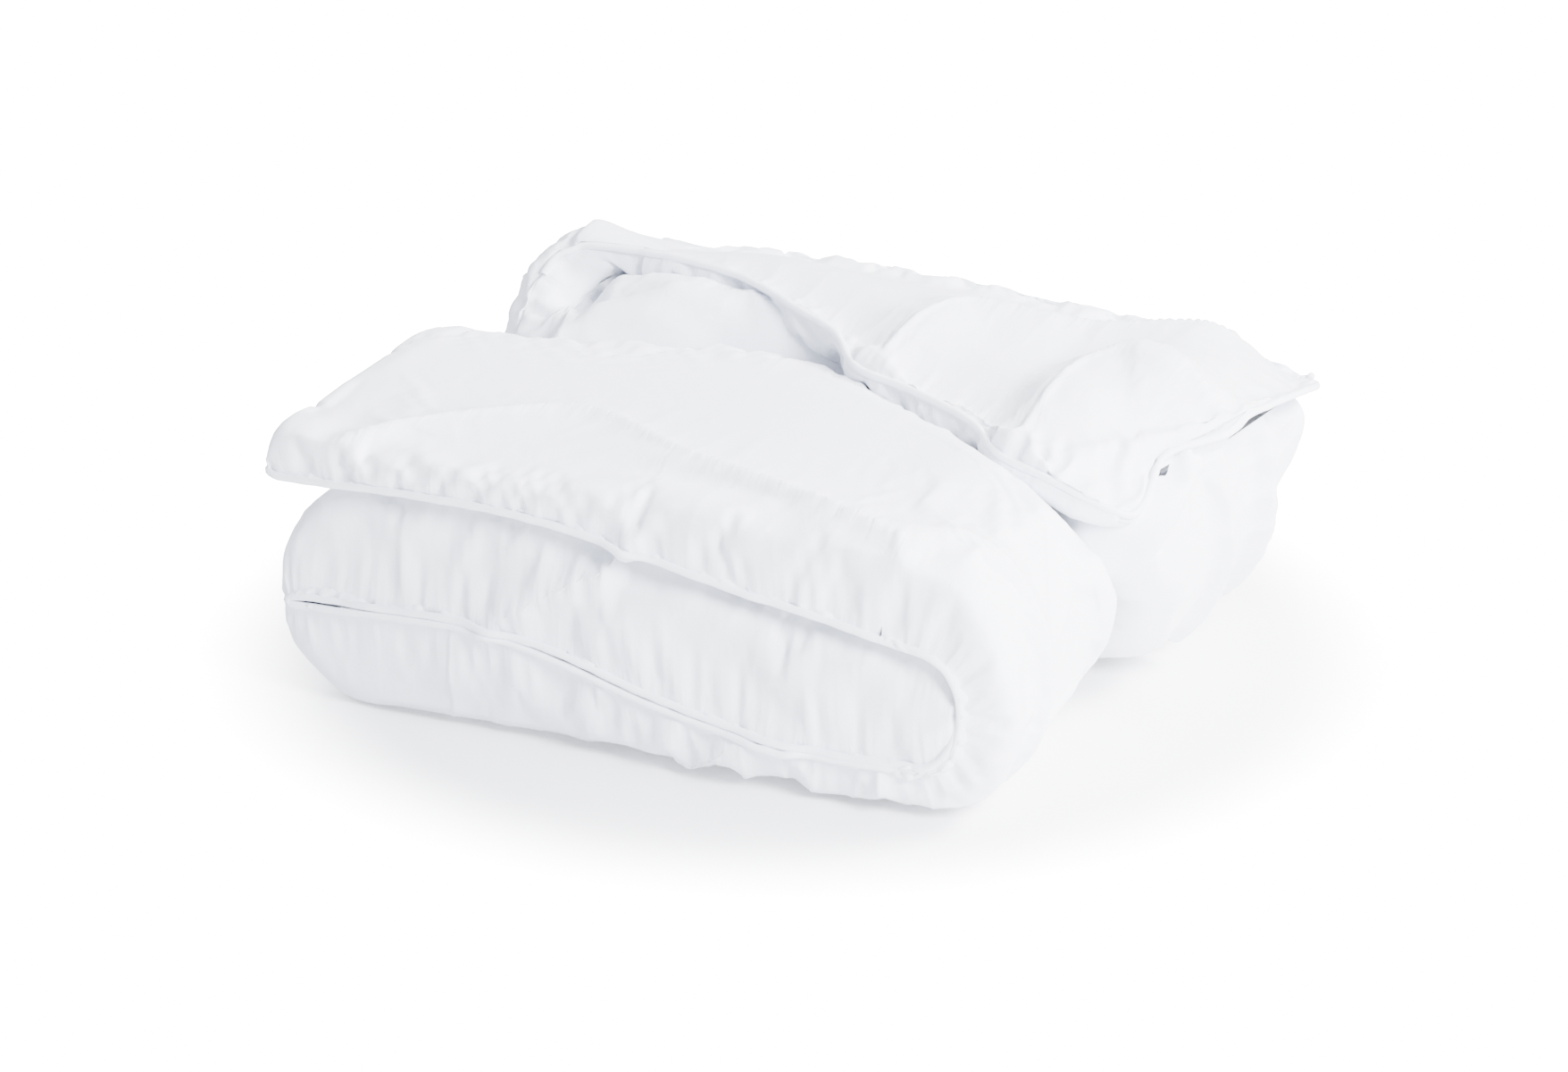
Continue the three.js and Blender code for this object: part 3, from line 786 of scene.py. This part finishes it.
class DUVET_OT_materials(bpy.types.Operator):
    """Makes the cloth, piping, thread and label finishes"""

    bl_idname = "duvet.materials"
    bl_label = "Finishes"

    def execute(self, context):
        paint = colours()
        MADE["weave"] = weave_group()
        # Two colours, roughness, sheen, threads, weave depth, wrinkle depth and wrinkle size.
        MADE["cloth"] = fabric(
            "Cover cloth", paint.cloth, paint.cloth_shade, 0.72, 0.25, 1400, 0.00006, 0.0022, 34
        )
        MADE["piping"] = fabric(
            "Piping cloth", paint.cloth, paint.cloth_shade, 0.66, 0.2, 1800, 0.00008, 0.0006, 160
        )
        MADE["thread"] = fabric(
            "Quilting thread", paint.thread, paint.thread, 0.5, 0.3, 2600, 0.00006, 0.0002, 500
        )
        MADE["label"] = fabric(
            "Label ribbon", paint.label, paint.label, 0.45, 0.1, 3200, 0.00005, 0.0003, 60
        )
        return {"FINISHED"}


def holding(loops, base, lines, hidden):
    """How firmly each point is held: fully at seams, well along the lines and in hidden places."""
    _, seams = face_masks(loops)
    hold = np.full(loops.shape[:2], base)
    flat = loops.reshape(-1, 3)
    for line in lines:
        distance, _ = line.measure(flat, reach=30.0)
        hold = np.maximum(hold, hill(distance, 0, 8.0).reshape(hold.shape))
    hold[seams] = 1.0
    return np.clip(np.maximum(hold, hidden), 0, 1)


def tautness(loops):
    """1 where the cloth has no fullness to spare, away from its seams."""
    reach = 90.0
    nearest = np.full(loops.shape[0] * loops.shape[1], reach)
    for column in (0, loops.shape[1] // 2):
        distance, _ = Line(loops[:, column]).measure(loops.reshape(-1, 3), reach)
        nearest = np.minimum(nearest, distance)
    return smooth(20, 80, nearest).reshape(loops.shape[:2])


def valleys(loops, lines, depth, width):
    """The face is drawn in towards the middle of the quilt along each line."""
    flat = loops.reshape(-1, 3)
    normal = normals_of(loops).reshape(-1, 3)
    lift = np.zeros(len(flat))
    for line in lines:
        distance, _ = line.measure(flat, width * 2.6)
        lift = np.maximum(lift, depth * hill(distance, 0, width))
    return (flat - normal * lift[:, None]).reshape(loops.shape)


def bend(piece):
    """The piece's place is baked into its mesh."""
    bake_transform(piece)


class DUVET_OT_near_quilt(bpy.types.Operator):
    """Makes the near bundle, folded in three, and its top leaf"""

    bl_idname = "duvet.near_quilt"
    bl_label = "Near bundle and top leaf"

    def execute(self, context):
        rows = spline(NEAR_RIBS, STEP)
        near, far = rib_ends(rows)
        loops = ribbon(near, far, FACE_POINTS, NEAR_SEAM)
        close_tip(loops, last=False)
        close_tip(loops, last=True)
        x, y, z = (loops[..., i] for i in range(3))
        # The low corner at the groove is tucked in.
        loops[..., 0] -= 20 * smooth(170, 290, y) * smooth(560, 640, x) * smooth(130, 30, z)
        outer, _ = face_masks(loops)
        lines = [laid_on(loops, run, outer) for run in NEAR_LINES + RIGHT_LINES]
        shaped = valleys(loops, lines, depth=2.5, width=14.0)
        shaped = valleys(shaped, lines[2:4], depth=4.5, width=11.0)
        turned = int(np.argmax(rows[:, 0] < 100))  # the rib where the left turn starts
        first_top = int(np.argmax(rows[:, 3] > 240))
        hold = self.holding(shaped, lines, turned)
        grown = finer_along(finer(blow_up(shaped, hold, tautness(shaped))))
        self.gather(grown, FINER * turned, FINER * first_top)
        return {"FINISHED"}

    def holding(self, shaped, lines, turned):
        """The inner cloth, the nested leaf's far face and the flat top are held from swelling."""
        face = (shaped.shape[1] - 2) // 2
        hidden = np.zeros(shaped.shape[:2])
        hidden[:, face + 6 : -4] = 0.6
        hidden[:turned, EDGE_STEPS + 2 : face + 2] = 0.7
        flat_top = 0.3 * smooth(215, 235, shaped[..., 2]) * smooth(90, 160, shaped[..., 1])
        return holding(shaped, 0.07, lines, np.maximum(hidden, flat_top))

    def gather(self, grown, turned, split):
        """Long slanted gathers, then short ones at the seams, the right bend and the lines."""
        depth = sizes().pucker / MM
        half = grown.shape[1] // 2
        seam = [Line(grown[::2, 0]), Line(grown[::2, half])]
        lines = [laid_on(grown, run, face_masks(grown)[0]) for run in NEAR_LINES + RIGHT_LINES]
        rib = np.arange(len(grown))
        start_x = grown[:, 0, 0]
        low = (rib > len(grown) * 0.36) & (start_x < 575) & (grown[:, half // 2, 2] < 40)
        bottom = [Line(grown[low, 0])]
        outside = smooth(turned - 24, turned + 24, rib)[:, None, None]
        grown, _ = gathers(
            grown, bottom, 62, 80, depth * 4.3, skew=0.12, seed=2, where=outside
        )
        for skew, share, fine in ((-0.75, 1 - outside, 1.5), (0.8, 0.7 * outside, 0.8)):
            grown, _ = gathers(grown, seam, 43, 56, depth * 2.3, skew=skew, seed=3, where=share)
            grown, _ = gathers(grown, seam, 18, 40, depth * fine, skew=skew, seed=9, where=share)
        grown, at_seams = gathers(grown, seam, 11, 17, depth * 0.9, skew=0.3)
        right = (grown[:, 0, 0] > 575) & (rib > len(grown) * 0.3)
        grown, _ = gathers(
            grown, [Line(grown[right, 0])], 17, 44, depth * 2.1, skew=0.1, seed=12
        )
        grown, _ = gathers(grown, lines, 31, 34, depth * 0.8, skew=0.3, seed=5)
        grown, at_lines = gathers(grown, lines, 12, 11, depth * 0.4, crease=2.0)
        self.keep(grown, np.maximum(at_seams, at_lines), lines, split)

    def keep(self, loops, gathered, lines, split):
        uv = uv_of(loops)
        base = quilt_piece("near_quilt", loops, uv, gathered, 0, split)
        leaf = quilt_piece("top_leaf_quilt", loops, uv, gathered, split, len(loops) - 1)
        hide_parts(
            "near_bundle_filling", "near_bundle_outer_cloth", "near_bundle_inner_cloth"
        )
        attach(base, "pile")
        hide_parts("top_leaf_filling", "top_leaf_outer_cloth", "top_leaf_inner_cloth")
        bend(leaf)
        MADE["near_loops"], MADE["near_split"], MADE["near_lines"] = loops, split, lines


def flap_ribs():
    """Near and far ends of the flap's ribs, from its left turn to its free right end."""
    near, far = [], []
    for x, y, z, thick in spline(FLAP_EDGE, STEP):
        back = x + 35 * smooth(300, 665, x)
        near.append(((x, y, z + SEAM * thick), (x, y, z - (1 - SEAM) * thick)))
        top = np.interp(back, *zip(*FLAP_BACK))
        far.append(((back, BACK, top), (back, BACK, FLAP_UNDER)))
    return np.array(near, float), np.array(far, float)


class DUVET_OT_far_quilt(bpy.types.Operator):
    """Makes the far bundle, folded in two, and the flap over it"""

    bl_idname = "duvet.far_quilt"
    bl_label = "Far bundle and flap"

    def execute(self, context):
        rows = spline(FAR_RIBS, STEP)
        first_flap = len(rows)
        near, far = (np.concatenate(pair) for pair in zip(rib_ends(rows), flap_ribs()))
        loops = ribbon(near, far, FACE_POINTS, SEAM)
        close_tip(loops, last=False)
        self.settle(loops, first_flap)
        close_tip(loops, last=True)
        lines = self.laid_lines(loops, first_flap)
        shaped = valleys(loops, lines[:2], depth=13.0, width=40.0)
        shaped = valleys(shaped, lines[:2], depth=5.0, width=15.0)
        shaped = valleys(shaped, lines[2:], depth=12.0, width=13.0)
        # The inner cloth of the bundle and the middle of the flap's underside hardly swell.
        face = (loops.shape[1] - 2) // 2
        hidden = np.zeros(loops.shape[:2])
        hidden[:first_flap, face + 6 : -4] = 0.7
        hidden[first_flap:, EDGE_STEPS + 2 : face - 4] = 0.6
        hold = holding(shaped, 0.06, lines, hidden)
        grown = finer_along(finer(blow_up(shaped, hold, tautness(shaped))))
        self.gather(grown, first_flap)
        return {"FINISHED"}

    def laid_lines(self, loops, first_flap):
        """The flap's lines lie on its top, and the others on the bundle's outer face."""
        outer, _ = face_masks(loops)
        on_flap = np.zeros(loops.shape[:2], bool)
        on_flap[first_flap:] = True
        lines = [laid_on(loops, run, on_flap & ~outer) for run in FLAP_LINES]
        return lines + [laid_on(loops, run, ~on_flap & outer) for run in SIDE_LINES]

    def gather(self, grown, first_flap):
        """Ripples on the upper leaf, then gathers along the seams, the flap's end and the lines."""
        depth = sizes().pucker / MM
        half = grown.shape[1] // 2
        near, back, end = Line(grown[::2, 0]), Line(grown[::2, half]), Line(grown[-1, :half])
        lines = self.laid_lines(grown, FINER * first_flap)
        x, y, z = (grown[..., i] for i in range(3))
        ripple = 1.5 * np.sin(y / 4.2 + x / 60 + 0.8 * np.sin(x / 37)) * smooth(370, 290, x)
        ripple = ripple * smooth(318, 345, y) * smooth(170, 215, z)
        ripple[FINER * first_flap :] = 0
        grown[..., 2] += np.where(face_masks(grown)[0], ripple, 0)
        grown, _ = gathers(grown, [near, end], 40, 42, depth * 1.9, skew=0.4, seed=4)
        grown, _ = gathers(grown, [back], 46, 50, depth * 1.1, skew=0.3, seed=14)
        grown, at_seams = gathers(grown, [near, end], 13, 17, depth, skew=0.2, seed=6)
        grown, _ = gathers(grown, [back], 17, 15, depth * 0.5, seed=11)
        grown, _ = gathers(grown, lines, 41, 52, depth * 1.5, skew=0.2, seed=7)
        grown, at_lines = gathers(grown, lines, 14, 15, depth * 0.5, crease=2.8, seed=8)
        split = FINER * (first_flap - FLAP_LEAD)
        self.keep(grown, np.maximum(at_seams, at_lines), lines, split)

    def settle(self, loops, first_flap):
        """The upper leaf swells in front of the flap, the turn rounds off, and the flap crowns."""
        x, y, z = (loops[..., i] for i in range(3))
        outer, _ = face_masks(loops)
        rib = np.arange(len(loops))[:, None]
        bundle = rib < first_flap
        flap = ~bundle
        # The upper leaf in front of the flap's near edge.
        upper = outer & bundle & (z > 150) & (rib > len(loops) * 0.35)
        swell = (42 - 12 * smooth(180, 110, x)) * hill(y, 408, 62) * smooth(370, 270, x)
        swell = swell * smooth(150, 215, z) * smooth(86, 118, x)
        loops[..., 2] += np.where(upper, swell, 0)
        # The right bend under the flap's free end.
        shoulder = 54 * hill(y, 380, 120) * smooth(500, 610, x) * smooth(105, 185, z)
        loops[..., 2] += np.where(outer & bundle, shoulder, 0)
        back_corner = 26 * smooth(490, 600, y) * smooth(560, 690, x) * smooth(170, 60, z)
        loops[..., 0] -= np.where(bundle, back_corner, 0)
        # The back sinks, and sinks most at the left turn.
        left = smooth(150, 60, x)
        droop = 46 + 14 * smooth(90, 20, x)
        droop = droop * smooth(500 - 30 * left, 600 - 10 * left, y) * smooth(190, 285, z)
        loops[..., 2] -= np.where(bundle, droop, 0)
        # The near end of the left turn draws in.
        turning = (rib > first_flap - 40) & (rib < first_flap + 12)
        drawn_in = 42 * (1 - smooth(300, 455, y)) * smooth(110, 20, x)
        loops[..., 0] += np.where(turning, drawn_in, 0)
        crown = 21 * smooth(0, 90, y - loops[:, :1, 1]) * smooth(10, 140, 600 - y)
        crown = crown * smooth(690, 600, x) * smooth(90, 260, x)
        loops[..., 2] += np.where(flap & ~outer, crown, 0)
        # The flap's last ribs bend to its free end.
        end_x, end_y, end_z = np.array(FLAP_END, float).T
        (first_x, _, first_z), near_y = loops[-1, 0].copy(), FLAP_END[0][1]
        share = smooth(first_x - 150, first_x, x) * flap
        line_x = np.interp(y, (near_y, BACK), (first_x, 700))
        line_z = np.interp(y, (near_y, BACK), (first_z, 202))
        move_x = share * (np.interp(y, end_y, end_x) - line_x)
        move_z = share * (np.interp(y, end_y, end_z) - line_z) * 0.9
        loops[..., 0] += move_x
        loops[..., 2] += move_z

    def keep(self, loops, gathered, lines, split):
        uv = uv_of(loops)
        base = quilt_piece("far_quilt", loops, uv, gathered, 0, split)
        flap = quilt_piece("flap_quilt", loops, uv, gathered, split, len(loops) - 1)
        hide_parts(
            "far_bundle_filling",
            "far_bundle_outer_cloth",
            "far_bundle_inner_cloth",
            "left_turn_filling",
        )
        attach(base, "pile")
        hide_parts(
            "turned_flap_filling", "turned_flap_outer_cloth", "turned_flap_inner_cloth"
        )
        bend(flap)
        MADE["far_loops"], MADE["far_split"], MADE["far_lines"] = loops, split, lines


class DUVET_OT_piping(bpy.types.Operator):
    """Makes the cord edge along the seams that show"""

    bl_idname = "duvet.piping"
    bl_label = "Piping"

    def execute(self, context):
        radius = sizes().piping / MM / 2
        outward = np.array((0, -radius * 0.8, 0))
        past_end = np.array((radius * 0.7, 0, 0))
        near, split = MADE["near_loops"], MADE["near_split"]
        base = self.cord("near_piping", near[: split + 1, 0] + outward, "near_bundle_piping")
        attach(base, "pile")
        tip = near[-1, 4 : near.shape[1] // 2 : 2] - past_end
        path = np.concatenate([near[split:, 0] + outward, tip])
        leaf = self.cord("top_leaf_piping_cord", path, "top_leaf_piping")
        bend(leaf)
        far, split = MADE["far_loops"], MADE["far_split"]
        tip = far[-1, 4 : far.shape[1] // 2 - 2 : 2] + past_end
        path = np.concatenate([far[split:, 0] + outward, tip])
        flap = self.cord("flap_piping", path, "turned_flap_piping")
        bend(flap)
        return {"FINISHED"}

    def cord(self, name, path, node):
        radius = sizes().piping / MM / 2
        gap = np.linalg.norm(np.diff(path, axis=0), axis=1)
        path = evened(path[np.concatenate([[True], gap > 0.4])], 2)
        gap = np.linalg.norm(np.diff(path, axis=0), axis=1)
        along = np.concatenate([[0], np.cumsum(gap)])
        places = np.linspace(0, along[-1], int(along[-1] / 3.5))
        path = np.stack([np.interp(places, along, path[:, i]) for i in range(3)], axis=1)
        rings = tube(path, radius * (1 + 0.05 * np.sin(places / 4.1)), sides=10)
        faces = faces_of(rings, closed_ends=True)
        uv = uv_of(rings).reshape(-1, 2)
        piece = new_piece(name, rings.reshape(-1, 3), faces, MADE["piping"], uv=uv)
        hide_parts(node)
        return piece


class DUVET_OT_stitching(bpy.types.Operator):
    """Sews the quilting lines with separate stitches"""

    bl_idname = "duvet.stitching"
    bl_label = "Quilting stitches"

    def execute(self, context):
        near, far = MADE["near_lines"], MADE["far_lines"]
        base = self.sew("near_stitches", near[2:], "near_bundle_quilting")
        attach(base, "pile")
        leaf = self.sew("top_leaf_stitches", near[:2], "top_leaf_quilting")
        bend(leaf)
        base = self.sew("far_stitches", far[2:], "far_bundle_quilting")
        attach(base, "pile")
        flap = self.sew("flap_stitches", far[:2], "turned_flap_quilting")
        bend(flap)
        return {"FINISHED"}

    def sew(self, name, lines, node):
        stitch = sizes().stitch / MM
        radii = 0.55 * np.array((0.5, 1, 1, 0.5))
        verts, faces, uvs = [], [], []
        count = 0
        for line in lines:
            for begin in np.arange(0, line.along[-1] - stitch, stitch):
                where = begin + stitch * np.linspace(0.1, 0.9, len(radii))
                path = [np.interp(where, line.along, line.points[:, i]) for i in range(3)]
                rings = tube(np.stack(path, 1), radii, sides=5)
                verts.append(rings.reshape(-1, 3))
                uvs.append(uv_of(rings).reshape(-1, 2))
                faces += [[i + count for i in f] for f in faces_of(rings, closed_ends=True)]
                count += rings.shape[0] * rings.shape[1]
        verts, uvs = np.concatenate(verts), np.concatenate(uvs)
        piece = new_piece(name, verts, faces, MADE["thread"], uv=uvs)
        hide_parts(node)
        return piece


class DUVET_OT_care_label(bpy.types.Operator):
    """Makes the care label at the back"""

    bl_idname = "duvet.care_label"
    bl_label = "Care label"

    def execute(self, context):
        low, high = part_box("care_label")
        clear_selection()
        bpy.ops.mesh.primitive_grid_add(x_subdivisions=16, y_subdivisions=20, size=1)
        label = context.active_object
        label.name = label.data.name = "care_label_ribbon"
        width, height = high[0] - low[0], high[2] - low[2]
        middle, back = (low[0] + high[0]) / 2, high[1] + 0.0012
        for v in label.data.vertices:
            u, w = v.co.x, v.co.y + 0.5
            wave = 0.0022 * math.sin(5 * u + 2 * w) * (1 - w) + 0.004 * (1 - w) ** 2
            v.co = (middle + u * width, back + wave, low[2] + w * height)
        solid = label.modifiers.new("Thickness", "SOLIDIFY")
        solid.thickness = 0.0005
        solid.offset = 0
        bpy.ops.object.modifier_apply(modifier=solid.name)
        bpy.ops.object.shade_smooth()
        label.data.materials.append(MADE["label"])
        layer = label.data.uv_layers.get("UVMap") or label.data.uv_layers.active
        if layer:
            layer.name = "weave"
        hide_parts("care_label")
        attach(label, "pile")
        return {"FINISHED"}


class DUVET_OT_stage(bpy.types.Operator):
    """Makes the floor, the soft lights and the camera"""

    bl_idname = "duvet.stage"
    bl_label = "Stage"

    def execute(self, context):
        clear_selection()
        bpy.ops.mesh.primitive_plane_add(size=24, location=(0, 0, -0.0005))
        floor = context.active_object
        floor.name = "Floor"
        floor.data.materials.append(self.floor_material())
        world = context.scene.world or bpy.data.worlds.new("World")
        context.scene.world = world
        world.use_nodes = True
        background = world.node_tree.nodes["Background"]
        background.inputs["Color"].default_value = (0.80, 0.87, 1.0, 1)
        background.inputs["Strength"].default_value = 1.26
        self.light("Key", (2.2, 0.9, 2.1), 1.3, 390, (1, 0.985, 0.965))
        self.light("Side", (1.9, -1.3, 1.5), 0.9, 250, (0.965, 0.98, 1))
        self.light("Top", (-1.2, 0.2, 2.4), 1.4, 60, (0.97, 0.985, 1))
        centre = Vector((-0.004, -0.052, 0.120))
        turn, rise, away = math.radians(25.2), math.radians(22), 4.8
        back = Vector(
            (math.sin(turn) * math.cos(rise), -math.cos(turn) * math.cos(rise), math.sin(rise))
        )
        data = bpy.data.cameras.new("Camera")
        data.lens, data.sensor_width = 132.5, 36
        camera = bpy.data.objects.new("Camera", data)
        context.scene.collection.objects.link(camera)
        camera.location = centre + back * away
        camera.rotation_euler = back.to_track_quat("Z", "Y").to_euler()
        context.scene.camera = camera
        return {"FINISHED"}

    def floor_material(self):
        """Pale paper with a painted glow that only the camera sees: weak round the pile, a painted
        shade where its shadow falls, and white beyond.
        """
        material = bpy.data.materials.new("Studio floor")
        material.use_nodes = True
        nodes, links = material.node_tree.nodes, material.node_tree.links
        shader = nodes["Principled BSDF"]
        shader.inputs["Base Color"].default_value = (*colours().floor, 1)
        shader.inputs["Roughness"].default_value = 0.9
        shader.inputs["Specular IOR Level"].default_value = 0.1
        place = nodes.new("ShaderNodeTexCoord")
        away = nodes.new("ShaderNodeVectorMath")
        away.operation = "LENGTH"
        links.new(place.outputs["Object"], away.inputs[0])
        # Painted light: a glow seen only by camera rays, 0.5 near the pile and 22 further out, so
        # the floor is painted darker round the pile.
        painted_glow = {"From Min": 0.38, "From Max": 0.62, "To Min": 0.5, "To Max": 22.0}
        fade = new_node(nodes, "ShaderNodeMapRange", painted_glow)
        fade.interpolation_type = "SMOOTHSTEP"
        links.new(away.outputs["Value"], fade.inputs["Value"])
        path = nodes.new("ShaderNodeLightPath")
        camera_glow = nodes.new("ShaderNodeMath")
        camera_glow.operation = "MULTIPLY"
        links.new(fade.outputs["Result"], camera_glow.inputs[0])
        links.new(path.outputs["Is Camera Ray"], camera_glow.inputs[1])
        shader.inputs["Emission Color"].default_value = (1, 1, 1, 1)
        links.new(camera_glow.outputs[0], shader.inputs["Emission Strength"])
        return material

    def light(self, name, place, size, power, colour):
        data = bpy.data.lights.new(name, "AREA")
        data.shape = "DISK"
        data.size = size
        data.energy = power
        data.color = colour
        lamp = bpy.data.objects.new(name, data)
        bpy.context.scene.collection.objects.link(lamp)
        lamp.location = place
        lamp.rotation_euler = Vector(place).to_track_quat("Z", "Y").to_euler()


class DUVET_PT_panel(bpy.types.Panel):
    """Lists the steps that make the duvet"""

    bl_idname = "DUVET_PT_panel"
    bl_label = "Folded duvet"
    bl_space_type = "VIEW_3D"
    bl_region_type = "UI"
    bl_category = "Duvet"

    def draw(self, context):
        for group in (context.scene.duvet_sizes, context.scene.duvet_colours):
            for key in group.__annotations__:
                self.layout.prop(group, key)
        for step in STEPS:
            self.layout.operator(step.bl_idname)


STEPS = (
    DUVET_OT_stage,
    DUVET_OT_materials,
    DUVET_OT_near_quilt,
    DUVET_OT_far_quilt,
    DUVET_OT_piping,
    DUVET_OT_stitching,
    DUVET_OT_care_label,
)
CLASSES = (DuvetSizes, DuvetColours, *STEPS, DUVET_PT_panel)


def register():
    for item in CLASSES:
        bpy.utils.register_class(item)
    bpy.types.Scene.duvet_sizes = bpy.props.PointerProperty(type=DuvetSizes)
    bpy.types.Scene.duvet_colours = bpy.props.PointerProperty(type=DuvetColours)


def unregister():
    del bpy.types.Scene.duvet_colours
    del bpy.types.Scene.duvet_sizes
    for item in reversed(CLASSES):
        bpy.utils.unregister_class(item)


def main():
    register()
    for step in STEPS:
        section, action = step.bl_idname.split(".")
        getattr(getattr(bpy.ops, section), action)()


if __name__ == "__main__":
    main()
